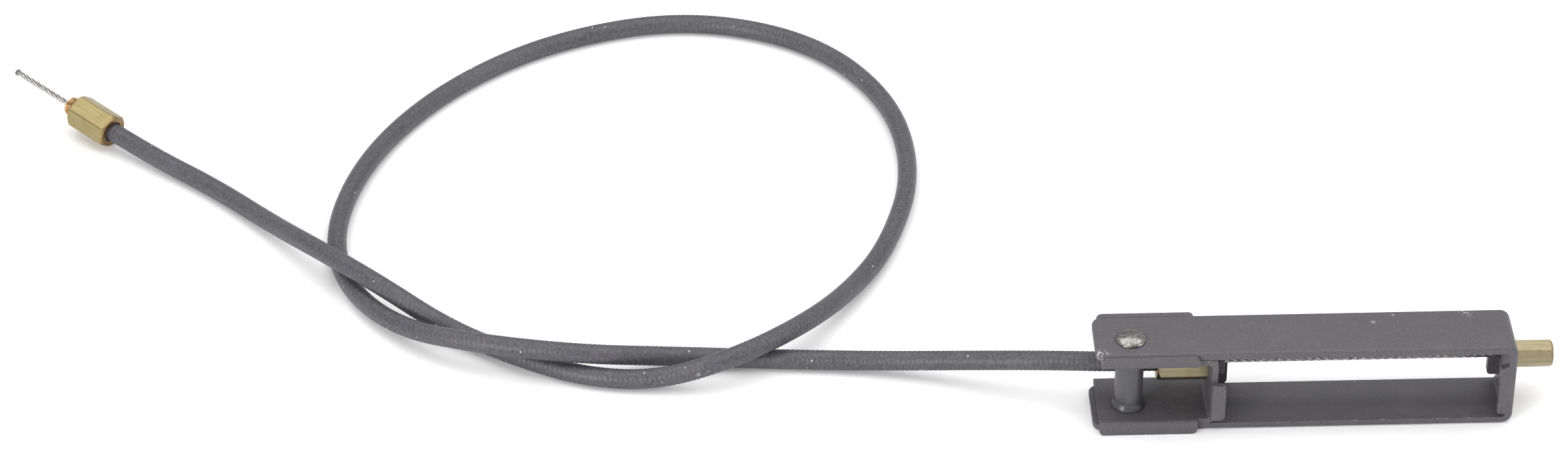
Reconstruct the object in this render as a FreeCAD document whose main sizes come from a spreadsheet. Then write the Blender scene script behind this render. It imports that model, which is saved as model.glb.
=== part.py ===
"""Cable shutter release: a folded sheet bracket, a Bowden cable and its two hex fittings.

Millimetres, +X along the bracket towards the pull terminal, +Y to the back, +Z up.
The origin is the middle of the bracket's box, on the surface that it stands on.
"""
import FreeCAD, Part
import math
import os
import re
import Sketcher

V = FreeCAD.Vector

# driving dimensions, one cell each
SIZES = {
    # outer frame: one strip bent to a U that opens to the left
    "frame_length": 101.6,
    "frame_width": 15.9,
    "frame_height": 22.9,
    "left_end": -56.3,
    "outer_sheet": 1.9,
    "outer_bend": 2.6,
    "left_corner": 2.4,
    "end_front_flange": 3.8,
    "end_back_flange": 4.4,
    "end_flange_foot": 3.0,
    "end_back_foot": 4.3,
    "end_flange_top": 17.5,
    "end_flange_slant": 1.2,
    "end_back_top": 19.6,
    "edge_round": 0.9,
    "wire_hole": 2.0,
    # inner yoke: a flanged strip nested in the frame's left end
    "yoke_left": -54.9,
    "yoke_sheet": 1.5,
    "yoke_width": 16.1,
    "yoke_bend": 2.3,
    "flange_bend": 1.3,
    "flange_drop": 0.45,
    "wall_face": -28.3,
    "web_flange_length": 23.6,
    "wall_front_flange": 3.5,
    "wall_back_flange": 5.9,
    "wall_front_foot": 3.8,
    "wall_back_foot": 1.5,
    "wall_front_top": 14.2,
    "wall_back_top": 19.0,
    "flange_end_round": 1.4,
    # rivet and spacer post
    "post_x": -47.5,
    "post_y": -1.5,
    "post_diameter": 6.9,
    "foot_diameter": 8.2,
    "foot_height": 1.6,
    "rivet_shank": 4.0,
    "rivet_hole": 4.1,
    "rivet_head": 7.4,
    "rivet_dome": 1.4,
    "rivet_clench": 5.8,
    # the wire's line through the bracket
    "wire_y": 4.7,
    "wire_z": 11.5,
    "wire_diameter": 1.5,
    "wire_bore": 1.66,
    # cable casing, from outside in
    "cover_diameter": 4.9,
    "coil_diameter": 3.9,
    "liner_diameter": 2.5,
    "tube_gap": 0.04,
    # hex fittings
    "ferrule_flats": 8.9,
    "ferrule_length": 12.1,
    "ferrule_chamfer": 0.5,
    "socket_diameter": 4.94,
    "socket_depth": 4.2,
    "ferrule_nose": 4.4,
    "nut_flats": 6.6,
    "nut_thickness": 2.8,
    "nut_hole": 4.44,
    "wall_hole": 4.5,
    "ferrule_turn": -13.5,
    "terminal_turn": -20,
    "terminal_flats": 6.0,
    "terminal_length": 10.6,
    "terminal_chamfer": 0.7,
    "terminal_gap": 0.05,
    "terminal_tap": 2.5,
    "nipple_diameter": 3.0,
    "nipple_length": 2.4,
    # far fitting: its cable end's place, heading from -X towards +Y, and tilt above level
    "far_x": -301.6,
    "far_y": 120.3,
    "far_z": 4.85,
    "far_heading": 40,
    "far_tilt": 7.3,
    "far_turn": 5,
    "far_flats": 8.3,
    "far_length": 12.7,
    "far_socket_depth": 4.5,
    "nose_diameter": 5.0,
    "nose_root": 3.8,
    "nose_seat": 2.0,
    "nose_length": 2.9,
    "tip_length": 18.6,
    "bead_diameter": 1.7,
    "bead_length": 0.9,
    # travel of the wire, and how far the moving ends reach into the casing
    "wire_travel": 10,
    "pull_wire_start": -41.0,
    "core_gap": 0.5,
    "tip_wire_root": 7.0,
    "core_start": 4.0,
}

# corners of the cable's route after the far fitting, chosen by hand
ROUTE = [
    (-274, 97.6, 2.5),
    (-258, 79.6, 3.4),
    (-245.5, 61.6, 8.4),
    (-230, 46.6, 8.4),
    (-213, 34.6, 3.2),
    (-196, 23.6, 2.5),
    (-179, 14.6, 2.5),
    (-161, 12.1, 2.9),
    (-143, 13.1, 8.3),
    (-126, 25.6, 8.3),
    (-113, 45.1, 4),
    (-102, 66.6, 2.5),
    (-94, 98.6, 2.5),
    (-98.5, 132.6, 2.5),
    (-118, 160.6, 2.5),
    (-151, 172.6, 2.5),
    (-186, 163.6, 2.5),
    (-214, 142.6, 2.5),
    (-234, 113.6, 2.5),
    (-243, 80.6, 2.5),
    (-239.5, 55.1, 2.5),
    (-226, 34.6, 4),
    (-206, 21.6, 8.3),
    (-180, 16.1, 8.4),
    (-157, 21.6, 3),
    (-134, 20.4, 2.5),
    (-108, 18.1, 3),
    (-84, 12.4, 6.9),
    (-66, 6.3, 11.1),
    (-50, 4.7, 11.5),
]
LEAD_OUT = 13.0  # straight run out of the far fitting

doc = FreeCAD.newDocument("cable_release")
sheet = doc.addObject("Spreadsheet::Sheet", "Sizes")
for row, (alias, number) in enumerate(SIZES.items(), start=1):
    sheet.set(f"A{row}", alias)
    sheet.set(f"B{row}", str(number))
    sheet.setAlias(f"B{row}", alias)
doc.recompute()

parts = []


def ref(text):
    """Write a sum of size names as an expression on the sheet's cells."""
    return re.sub(r"[a-z_]+", lambda m: f"Sizes.{m[0]}" if m[0] in SIZES else m[0], text)


def size(text):
    """The number that a sum of size names comes to."""
    return float(sheet.evalExpression(ref(text)))


def body(label):
    made = doc.addObject("PartDesign::Body", label)
    made.Label = label
    parts.append(made)
    return made


def new_sketch(owner, name, plane, offset, shift="0"):
    """A sketch on one of the body's own origin planes, moved along the plane's normal and its first axis."""
    made = owner.newObject("Sketcher::SketchObject", name)
    face = [item for item in owner.Origin.OriginFeatures if item.Role == plane][0]
    made.AttachmentSupport = [(face, "")]
    made.MapMode = "FlatFace"
    made.setExpression("AttachmentOffset.Base.z", ref(offset))
    made.setExpression("AttachmentOffset.Base.x", ref(shift))
    return made


def fix(sketch, kind, item, point, text, name):
    """Tie one coordinate of a sketch point to a sum of sizes."""
    index = sketch.addConstraint(Sketcher.Constraint(kind, -1, 1, item, point, size(text)))
    sketch.renameConstraint(index, name)
    sketch.setExpression("Constraints." + name, ref(text))


def outline(owner, name, plane, corners, offset="0", shift="0"):
    """A closed outline of straight lines, each corner tied to the sheet."""
    sketch = new_sketch(owner, name, plane, offset, shift)
    spots = [V(size(x), size(y), 0) for x, y in corners]
    for start, end in zip(spots, spots[1:] + spots[:1]):
        sketch.addGeometry(Part.LineSegment(start, end))
    for i in range(len(spots)):
        sketch.addConstraint(Sketcher.Constraint("Coincident", i, 2, (i + 1) % len(spots), 1))
    for i, (x, y) in enumerate(corners):
        fix(sketch, "DistanceX", i, 1, x, f"across{i}")
        fix(sketch, "DistanceY", i, 1, y, f"up{i}")
    return sketch


def circle(owner, name, plane, across, up, diameter):
    sketch = new_sketch(owner, name, plane, "0")
    sketch.addGeometry(Part.Circle(V(size(across), size(up), 0), V(0, 0, 1), size(diameter) / 2))
    fix(sketch, "DistanceX", 0, 3, across, "across")
    fix(sketch, "DistanceY", 0, 3, up, "up")
    index = sketch.addConstraint(Sketcher.Constraint("Diameter", 0, size(diameter)))
    sketch.renameConstraint(index, "width")
    sketch.setExpression("Constraints.width", ref(diameter))
    return sketch


def pad(owner, name, sketch, length, both_ways=False, backwards=False):
    made = owner.newObject("PartDesign::Pad", name)
    made.Profile = sketch
    made.SideType = "Symmetric" if both_ways else "One side"
    made.Reversed = backwards
    made.setExpression("Length", ref(length))
    doc.recompute()
    return made


def drill(owner, name, sketch, length):
    """Cut a sketch both ways from its plane, and make sure that it removed something."""
    before = owner.Shape.Volume
    made = owner.newObject("PartDesign::Pocket", name)
    made.Profile = sketch
    made.SideType = "Symmetric"
    made.setExpression("Length", ref(length))
    doc.recompute()
    if owner.Shape.Volume >= before:
        raise RuntimeError(name + " cuts nothing")
    return made


def turn(owner, name, corners, cut=False, axis_x="0", axis_y="0"):
    """Turn an outline of (radius, height) corners about an upright axis of the body, or cut it away."""
    before = owner.Shape.Volume if cut else 0
    sketch = outline(owner, name + "_outline", "XZ_Plane", corners, f"-({axis_y})", axis_x)
    made = owner.newObject("PartDesign::Groove" if cut else "PartDesign::Revolution", name)
    made.Profile = sketch
    made.ReferenceAxis = (sketch, ["V_Axis"])
    made.Angle = 360
    doc.recompute()
    if cut and owner.Shape.Volume >= before:
        raise RuntimeError(name + " cuts nothing")
    return made


def edges_at(shape, direction, places):
    """Names of the straight edges along a direction whose middles match a place; None fits all."""
    names = []
    for number, edge in enumerate(shape.Edges, start=1):
        if edge.Curve.TypeId != "Part::GeomLine" or edge.tangentAt(edge.FirstParameter).cross(direction).Length > 0.01:
            continue
        middle = edge.CenterOfMass
        for place in places:
            if all(want is None or abs(want - got) < 0.06 for want, got in zip(place, middle)):
                names.append(f"Edge{number}")
                break
    return names


def round_edges(owner, name, radius, direction, places):
    base = owner.Tip
    names = edges_at(base.Shape, direction, places)
    if not names:
        raise RuntimeError(name + " finds no edges")
    made = owner.newObject("PartDesign::Fillet", name)
    made.Base = (base, names)
    made.setExpression("Radius", ref(radius))
    doc.recompute()
    if "Invalid" in made.State:
        raise RuntimeError(name + " fails")
    return made


def u_strip(owner, name, left, right, low, high, sheet_name, width):
    """A strip bent to a U that opens to the left: its side outline padded to its width."""
    inner_right = f"{right} - {sheet_name}"
    inner_low = f"{low} + {sheet_name}"
    inner_high = f"{high} - {sheet_name}"
    corners = [(left, low), (right, low), (right, high), (left, high),
               (left, inner_high), (inner_right, inner_high), (inner_right, inner_low), (left, inner_low)]
    return pad(owner, name, outline(owner, name + "_side", "XZ_Plane", corners), width, both_ways=True)


def make_outer_frame():
    frame = body("outer_frame")
    right = "left_end + frame_length"
    u_strip(frame, "strip", "left_end", right, "0", "frame_height", "outer_sheet", "frame_width")
    left, end = size("left_end"), size(right)
    top, sheet_t, half = size("frame_height"), size("outer_sheet"), size("frame_width / 2")
    round_edges(frame, "left_corners", "left_corner", V(0, 0, 1), [(left, -half, None), (left, half, None)])
    round_edges(frame, "outer_bends", "outer_bend", V(0, 1, 0), [(end, None, 0), (end, None, top)])
    round_edges(frame, "inner_bends", "outer_bend - outer_sheet", V(0, 1, 0),
                [(end - sheet_t, None, sheet_t), (end - sheet_t, None, top - sheet_t)])
    # the end wall's flanges, turned inwards: a short slanted one in front, a longer one behind
    root = f"{right} - outer_sheet / 2"
    front = [(f"{right} - end_front_flange", "end_flange_foot"), (root, "end_flange_foot"),
             (root, "end_flange_top"), (f"{right} - end_front_flange", "end_flange_top - end_flange_slant")]
    back = [(f"{right} - end_back_flange", "end_back_foot"), (root, "end_back_foot"),
            (root, "end_back_top"), (f"{right} - end_back_flange", "end_back_top")]
    pad(frame, "front_flange", outline(frame, "front_flange_side", "XZ_Plane", front, "frame_width / 2"),
        "outer_sheet", backwards=True)
    pad(frame, "back_flange", outline(frame, "back_flange_side", "XZ_Plane", back, "-frame_width / 2"),
        "outer_sheet")
    round_edges(frame, "flange_bends", "edge_round", V(0, 0, 1), [(end, -half, None), (end, half, None)])
    round_edges(frame, "flange_corner", "edge_round", V(0, 1, 0),
                [(size(f"{right} - end_back_flange"), None, size("end_back_foot"))])
    drill(frame, "rivet_holes", circle(frame, "rivet_spot", "XY_Plane", "post_x", "post_y", "rivet_hole"),
          "frame_height * 3")
    turn(frame, "countersink", [("0", "-0.1"), ("rivet_clench / 2 + 0.05", "-0.1"), ("rivet_clench / 2 + 0.05", "0.05"),
                                ("rivet_hole / 2", "outer_sheet - 0.2"), ("0", "outer_sheet - 0.2")],
         cut=True, axis_x="post_x", axis_y="post_y")
    drill(frame, "wire_way", circle(frame, "wire_spot", "YZ_Plane", "wire_y", "wire_z", "wire_hole"),
          "frame_length * 3")


def make_inner_yoke():
    yoke = body("inner_yoke")
    wall_right = "wall_face + yoke_sheet"
    low, high = "outer_sheet", "frame_height - outer_sheet"
    u_strip(yoke, "strip", "yoke_left", wall_right, low, high, "yoke_sheet", "yoke_width")
    right = size(wall_right)
    round_edges(yoke, "outer_bends", "yoke_bend", V(0, 1, 0), [(right, None, size(low)), (right, None, size(high))])
    wall = size("wall_face")
    round_edges(yoke, "inner_bends", "yoke_bend - yoke_sheet", V(0, 1, 0),
                [(wall, None, size("outer_sheet + yoke_sheet")),
                 (wall, None, size("frame_height - outer_sheet - yoke_sheet"))])
    # flanges stand outwards along both webs, over the frame's edges, and along the cross wall
    web_end = "yoke_left + web_flange_length"
    webs = {
        "top": ("yoke_left", web_end, "frame_height - outer_sheet - yoke_sheet", "frame_height - flange_drop"),
        "bottom": ("yoke_left", web_end, "0", "outer_sheet + yoke_sheet"),
    }
    walls = {
        "front": ("wall_face", "wall_face + wall_front_flange", "wall_front_foot", "wall_front_top"),
        "back": ("wall_face", "wall_face + wall_back_flange", "wall_back_foot", "wall_back_top"),
    }
    sides = {"front": ("yoke_width / 2", False), "back": ("-yoke_width / 2", True)}
    for side, (offset, backwards) in sides.items():
        for place, (x0, x1, z0, z1) in {**webs, "wall": walls[side]}.items():
            name = f"{place}_{side}_flange"
            corners = [(x0, z0), (x1, z0), (x1, z1), (x0, z1)]
            pad(yoke, name, outline(yoke, name + "_side", "XZ_Plane", corners, offset), "yoke_sheet",
                backwards=backwards)
    outer_y = size("yoke_width / 2 + yoke_sheet")
    web_low = size("outer_sheet + yoke_sheet")
    web_high = size("frame_height - outer_sheet - yoke_sheet")
    lines = [(None, y, z) for y in (-outer_y, outer_y) for z in (web_low, web_high)]
    round_edges(yoke, "web_flange_bends", "flange_bend", V(1, 0, 0), lines)
    round_edges(yoke, "wall_flange_bends", "flange_bend", V(0, 0, 1), [(wall, -outer_y, None), (wall, outer_y, None)])
    ends = [(size(x), None, size(z)) for x in ("yoke_left", web_end) for z in ("0", "frame_height - flange_drop")]
    for x0, x1, z0, z1 in walls.values():
        ends += [(size(x1), None, size(z0)), (size(x1), None, size(z1))]
    round_edges(yoke, "flange_ends", "flange_end_round", V(0, 1, 0), ends)
    drill(yoke, "rivet_holes", circle(yoke, "rivet_spot", "XY_Plane", "post_x", "post_y", "rivet_hole"),
          "frame_height * 3")
    drill(yoke, "ferrule_hole", circle(yoke, "ferrule_spot", "YZ_Plane", "wire_y", "wire_z", "wall_hole"),
          "frame_length * 3")


def stand_at_post(owner):
    owner.Placement = FreeCAD.Placement(V(size("post_x"), size("post_y"), 0), FreeCAD.Rotation())


def make_rivet_and_post():
    rivet = body("rivet")
    shank, head, clench = "rivet_shank / 2", "rivet_head / 2", "rivet_clench / 2"
    turn(rivet, "shank", [("0", "0.05"), (clench, "0.05"), (shank, "outer_sheet - 0.2"),
                          (shank, "frame_height"), (head, "frame_height"), (head, "frame_height + 0.35"),
                          (f"{head} * 0.82", "frame_height + rivet_dome * 0.62"),
                          (f"{head} * 0.5", "frame_height + rivet_dome * 0.92"),
                          ("0", "frame_height + rivet_dome")])
    stand_at_post(rivet)
    post = body("spacer_post")
    foot, top = "outer_sheet + yoke_sheet", "frame_height - outer_sheet - yoke_sheet"
    turn(post, "tube", [("rivet_hole / 2", foot), ("foot_diameter / 2", foot),
                        ("foot_diameter / 2", f"{foot} + foot_height * 0.3"),
                        ("post_diameter / 2", f"{foot} + foot_height"),
                        ("post_diameter / 2", top), ("rivet_hole / 2", top)])
    stand_at_post(post)


def hex_bar(owner, flats, length):
    """A hexagonal bar along the body's Z axis, with two of its corners on the X axis."""
    corner, shoulder, half = f"{flats} / sqrt(3)", f"{flats} / sqrt(3) / 2", f"{flats} / 2"
    corners = [(corner, "0"), (shoulder, half), (f"-{shoulder}", half),
               (f"-{corner}", "0"), (f"-{shoulder}", f"-{half}"), (shoulder, f"-{half}")]
    return pad(owner, "bar", outline(owner, "bar_end", "XY_Plane", corners), length)


def chamfer_hex_end(owner, name, flats, height, inwards, depth):
    """Turn the corners off one end of the bar; inwards is + or - along Z into the bar."""
    beyond = f"{flats} / sqrt(3) + 1"
    slope = f"({flats} / sqrt(3) + 1 - {flats} / 2) / ({flats} / sqrt(3) - {flats} / 2)"
    turn(owner, name, [(f"{flats} / 2", height), (beyond, height),
                       (beyond, f"{height} {inwards} {depth} * {slope}")], cut=True)


def lie_along_wire(owner, start, turned_by="0"):
    """Lay a body's Z axis along +X on the wire's line, and turn it about that line."""
    along = FreeCAD.Rotation(V(0, 1, 0), 90)
    turned = along.multiply(FreeCAD.Rotation(V(0, 0, 1), size(turned_by)))
    owner.Placement = FreeCAD.Placement(V(size(start), size("wire_y"), size("wire_z")), turned)


def make_frame_ferrule():
    ferrule = body("frame_ferrule")
    hex_bar(ferrule, "ferrule_flats", "ferrule_length")
    nose = "ferrule_nose / 2"
    end = "ferrule_length + yoke_sheet + nut_thickness + 0.2"
    turn(ferrule, "nose", [("0", "ferrule_length"), (nose, "ferrule_length"), (nose, f"{end} - 0.4"),
                           (f"{nose} - 0.4", end), ("0", end)])
    turn(ferrule, "socket", [("0", "0"), ("socket_diameter / 2", "0"),
                             ("socket_diameter / 2", "socket_depth"), ("0", "socket_depth")], cut=True)
    turn(ferrule, "wire_bore", [("0", "socket_depth"), ("wire_bore / 2", "socket_depth"),
                                ("wire_bore / 2", end), ("0", end)], cut=True)
    chamfer_hex_end(ferrule, "cable_end", "ferrule_flats", "0", "+", "ferrule_chamfer")
    lie_along_wire(ferrule, "wall_face - ferrule_length", "ferrule_turn")
    nut = body("lock_nut")
    hex_bar(nut, "nut_flats", "nut_thickness")
    turn(nut, "thread_hole", [("0", "0"), ("nut_hole / 2", "0"), ("nut_hole / 2", "nut_thickness"),
                              ("0", "nut_thickness")], cut=True)
    chamfer_hex_end(nut, "outer_end", "nut_flats", "nut_thickness", "-", "ferrule_chamfer")
    lie_along_wire(nut, "wall_face + yoke_sheet")


def make_terminal():
    terminal = body("pull_terminal")
    hex_bar(terminal, "terminal_flats", "terminal_length")
    nipple, end = "nipple_diameter / 2 + 0.05", "terminal_length"
    turn(terminal, "wire_bore", [("0", "0"), ("wire_bore / 2", "0"), ("wire_bore / 2", "2"),
                                 ("0", "2")], cut=True)
    turn(terminal, "nipple_seat", [("0", "2"), (nipple, "2"), (nipple, "2 + nipple_length"),
                                   ("terminal_tap / 2", "2 + nipple_length"), ("terminal_tap / 2", end),
                                   ("0", end)], cut=True)
    chamfer_hex_end(terminal, "outer_end", "terminal_flats", end, "-", "terminal_chamfer")
    lie_along_wire(terminal, "left_end + frame_length + terminal_gap", "terminal_turn")
    nipple_body = body("wire_nipple")
    start = "left_end + frame_length + terminal_gap + 2"
    turn(nipple_body, "bead", [("wire_diameter / 2", "0"), ("nipple_diameter / 2 - 0.3", "0"),
                               ("nipple_diameter / 2", "0.3"), ("nipple_diameter / 2", "nipple_length - 0.4"),
                               ("nipple_diameter / 2 - 0.3", "nipple_length - 0.1"),
                               ("wire_diameter / 2", "nipple_length - 0.1")])
    lie_along_wire(nipple_body, start)
    wire = doc.addObject("Part::Cylinder", "window_wire")
    wire.Label = "window_wire"
    wire.setExpression("Radius", ref("wire_diameter / 2"))
    wire.setExpression("Height", ref(f"{start} + nipple_length - 0.1 - pull_wire_start"))
    parts.append(wire)
    lie_along_wire(wire, "pull_wire_start")


def far_axis():
    """Unit vector from the cable end of the far fitting towards the wire's tip."""
    heading, tilt = math.radians(size("far_heading")), math.radians(size("far_tilt"))
    return V(-math.cos(heading) * math.cos(tilt), math.sin(heading) * math.cos(tilt), math.sin(tilt))


def far_point(along):
    return V(size("far_x"), size("far_y"), size("far_z")) + far_axis() * along


def lie_at_far_end(owner, start):
    """Lay a body's Z axis along the far fitting's axis, with its X axis pointing down, then turned a little."""
    axis = far_axis()
    side = V(0, 0, 1).cross(axis).normalize()
    upright = FreeCAD.Rotation(side.cross(axis), side, axis, "ZYX")
    turned = upright.multiply(FreeCAD.Rotation(V(0, 0, 1), size("far_turn")))
    owner.Placement = FreeCAD.Placement(far_point(size(start)), turned)


def make_far_fitting():
    ferrule = body("far_ferrule")
    hex_bar(ferrule, "far_flats", "far_length")
    socket, seat = "socket_diameter / 2", "far_length - nose_seat"
    turn(ferrule, "socket", [("0", "0"), (f"{socket} + 0.35", "0"), (socket, "0.35"),
                             (socket, "far_socket_depth"), ("0", "far_socket_depth")], cut=True)
    turn(ferrule, "wire_bore", [("0", "far_socket_depth"), ("wire_bore / 2", "far_socket_depth"),
                                ("wire_bore / 2", seat), ("nose_root / 2", seat),
                                ("nose_root / 2", "far_length"), ("0", "far_length")], cut=True)
    chamfer_hex_end(ferrule, "cable_end", "far_flats", "0", "+", "ferrule_chamfer")
    chamfer_hex_end(ferrule, "nose_end", "far_flats", "far_length", "-", "ferrule_chamfer")
    lie_at_far_end(ferrule, "0")
    nose = body("threaded_nose")
    end = "nose_seat + nose_length"
    turn(nose, "bush", [("wire_bore / 2", "0"), ("nose_root / 2", "0"),
                        ("nose_root / 2", "nose_seat"), ("nose_diameter / 2", "nose_seat"),
                        ("nose_diameter / 2", f"{end} - 0.35"), ("nose_diameter / 2 - 0.35", end),
                        ("wire_bore / 2", end)])
    lie_at_far_end(nose, seat)
    reach = "far_length + nose_length + tip_length"
    tip = doc.addObject("Part::Cylinder", "tip_wire")
    tip.Label = "tip_wire"
    tip.setExpression("Radius", ref("wire_diameter / 2"))
    tip.setExpression("Height", ref(f"{reach} - tip_wire_root"))
    parts.append(tip)
    lie_at_far_end(tip, "tip_wire_root")
    bead = body("tip_bead")
    turn(bead, "cap", [("0", "0"), ("bead_diameter / 2", "0"),
                       ("bead_diameter / 2", "bead_length - 0.35"),
                       ("bead_diameter / 2 - 0.35", "bead_length"), ("0", "bead_length")])
    lie_at_far_end(bead, reach)


def cable_path(start_trim, end_trim):
    """Straight runs joined by tangent arcs, each arc as large as its two runs allow.

    start_trim and end_trim shorten the first and last runs.
    """
    depth = size("far_socket_depth")
    casing_end = V(size("wall_face - ferrule_length + socket_depth"), size("wire_y"), size("wire_z"))
    points = [far_point(depth), far_point(-LEAD_OUT)] + [V(*spot) for spot in ROUTE] + [casing_end]
    edges, radii = [], []
    place = points[0] + (points[1] - points[0]).normalize() * start_trim
    for before, corner, after in zip(points, points[1:], points[2:]):
        back, ahead = before - corner, after - corner
        reach = 0.45 * min(back.Length, ahead.Length)
        half_turn = (math.pi - back.getAngle(ahead)) / 2
        radius = reach / math.tan(half_turn)
        back.normalize()
        ahead.normalize()
        inwards = (back + ahead).normalize()
        middle = corner + inwards * (radius / math.cos(half_turn) - radius)
        edges.append(Part.LineSegment(place, corner + back * reach).toShape())
        edges.append(Part.Arc(corner + back * reach, middle, corner + ahead * reach).toShape())
        place = corner + ahead * reach
        radii.append(radius)
    last = points[-1] + (points[-2] - points[-1]).normalize() * end_trim
    edges.append(Part.LineSegment(place, last).toShape())
    return Part.Wire(edges), radii


def swept_round(path, diameter):
    start = path.Edges[0]
    section = Part.Circle(start.valueAt(start.FirstParameter), start.tangentAt(start.FirstParameter), diameter / 2)
    return path.makePipeShell([Part.Wire(section.toShape())], True, True)


def make_casing(label, outer, inner, start_trim=0.0, end_trim=0.0):
    """One layer of the cable, checked against its section times its length."""
    path, radii = cable_path(start_trim, end_trim)
    shape = swept_round(path, outer)
    area = math.pi * outer ** 2 / 4
    if inner > 0:
        shape = shape.cut(swept_round(path, inner))
        area -= math.pi * inner ** 2 / 4
    made = doc.addObject("Part::Feature", label)
    made.Label = label
    made.Shape = shape.Solids[0]
    made.Placement = FreeCAD.Placement()
    parts.append(made)
    expected = area * path.Length
    print(f"{label}: length {path.Length:.1f}, volume {made.Shape.Volume:.1f} of {expected:.1f}, "
          f"smallest radius {min(radii):.1f}")
    if abs(made.Shape.Volume / expected - 1) > 0.01:
        raise RuntimeError(label + " has the wrong volume")
    return radii


def make_cable():
    gap = size("tube_gap")
    radii = make_casing("sheath_cover", size("cover_diameter"), size("coil_diameter"))
    print("radii:", " ".join(f"{radius:.0f}" for radius in radii))
    make_casing("sheath_coil", size("coil_diameter") - gap, size("liner_diameter"))
    make_casing("sheath_liner", size("liner_diameter") - gap, size("wire_bore"))
    core_start = size("far_socket_depth + core_start")
    core_end = size("wall_face - ferrule_length + socket_depth - pull_wire_start + core_gap")
    make_casing("core_wire", size("wire_diameter"), 0, core_start, core_end)


def check_and_write():
    """Stop at a failed feature or a bad shape, then write one STEP file for each sub-part."""
    doc.recompute()
    for item in doc.Objects:
        if "Invalid" in item.State or "Error" in item.State:
            raise RuntimeError("failed: " + item.Label)
    os.makedirs("parts", exist_ok=True)
    for item in parts:
        if item.Shape.isNull() or not item.Shape.isValid() or len(item.Shape.Solids) != 1:
            raise RuntimeError("bad shape: " + item.Label)
    for item in parts:
        item.Shape.exportStep(f"parts/{item.Label}.step")
        box = item.Shape.BoundBox
        print(f"{item.Label}: x {box.XMin:.2f}..{box.XMax:.2f}  y {box.YMin:.2f}..{box.YMax:.2f}  "
              f"z {box.ZMin:.2f}..{box.ZMax:.2f}  volume {item.Shape.Volume:.1f}")


make_outer_frame()
make_inner_yoke()
make_rivet_and_post()
make_frame_ferrule()
make_terminal()
make_far_fitting()
make_cable()
check_and_write()
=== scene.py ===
"""Cable shutter release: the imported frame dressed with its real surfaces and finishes.

Metres, +X along the bracket towards the pull terminal, +Y to the back, +Z up.
"""
import math

import bmesh
import bpy
import numpy as np
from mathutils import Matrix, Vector


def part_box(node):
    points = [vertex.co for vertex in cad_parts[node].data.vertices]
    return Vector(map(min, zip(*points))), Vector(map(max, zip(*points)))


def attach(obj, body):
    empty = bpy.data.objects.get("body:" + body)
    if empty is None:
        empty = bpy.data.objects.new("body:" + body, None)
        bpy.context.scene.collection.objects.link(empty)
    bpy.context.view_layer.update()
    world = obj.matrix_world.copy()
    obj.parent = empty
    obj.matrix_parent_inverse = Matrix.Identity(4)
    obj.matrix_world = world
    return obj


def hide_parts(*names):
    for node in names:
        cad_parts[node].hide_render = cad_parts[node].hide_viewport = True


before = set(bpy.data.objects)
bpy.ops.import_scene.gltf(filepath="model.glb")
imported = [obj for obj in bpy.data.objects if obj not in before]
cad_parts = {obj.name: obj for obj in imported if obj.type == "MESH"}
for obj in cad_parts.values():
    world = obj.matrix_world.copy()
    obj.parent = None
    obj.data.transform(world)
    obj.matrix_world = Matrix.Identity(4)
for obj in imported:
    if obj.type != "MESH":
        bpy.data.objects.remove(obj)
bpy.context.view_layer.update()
MM = 0.001

# ---------------------------------------------------------------- sizes taken from the frame


def box_of(node):
    low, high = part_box(node)
    return np.array(low), np.array(high)


FERRULE_LOW, FERRULE_HIGH = box_of("frame_ferrule")
TERMINAL_LOW, TERMINAL_HIGH = box_of("pull_terminal")
NUT_LOW, NUT_HIGH = box_of("lock_nut")
RIVET_LOW, RIVET_HIGH = box_of("rivet")
POST_LOW, POST_HIGH = box_of("spacer_post")
ROPE_LOW, ROPE_HIGH = box_of("window_wire")
WIRE_LINE = (ROPE_LOW + ROPE_HIGH) / 2

# the far fitting's cable end, and its direction towards the wire's tip
FAR_HEADING = math.radians(40)
FAR_TILT = math.radians(7.3)
FAR_END = np.array([-301.6, 120.3, 4.85]) * MM
FAR_AXIS = np.array([-math.cos(FAR_HEADING) * math.cos(FAR_TILT),
                     math.sin(FAR_HEADING) * math.cos(FAR_TILT), math.sin(FAR_TILT)])
X_AXIS = np.array([1.0, 0, 0])
Z_AXIS = np.array([0, 0, 1.0])

COVER_DIAMETER = 4.9 * MM
ROPE_DIAMETER = 1.5 * MM
FERRULE_FLATS = 8.9 * MM
NUT_FLATS = 6.6 * MM
FAR_FLATS = 8.3 * MM
TERMINAL_FLATS = 6.0 * MM
FERRULE_TURN = math.radians(13.5)
TERMINAL_TURN = math.radians(20)
FAR_TURN = math.radians(5)

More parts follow.
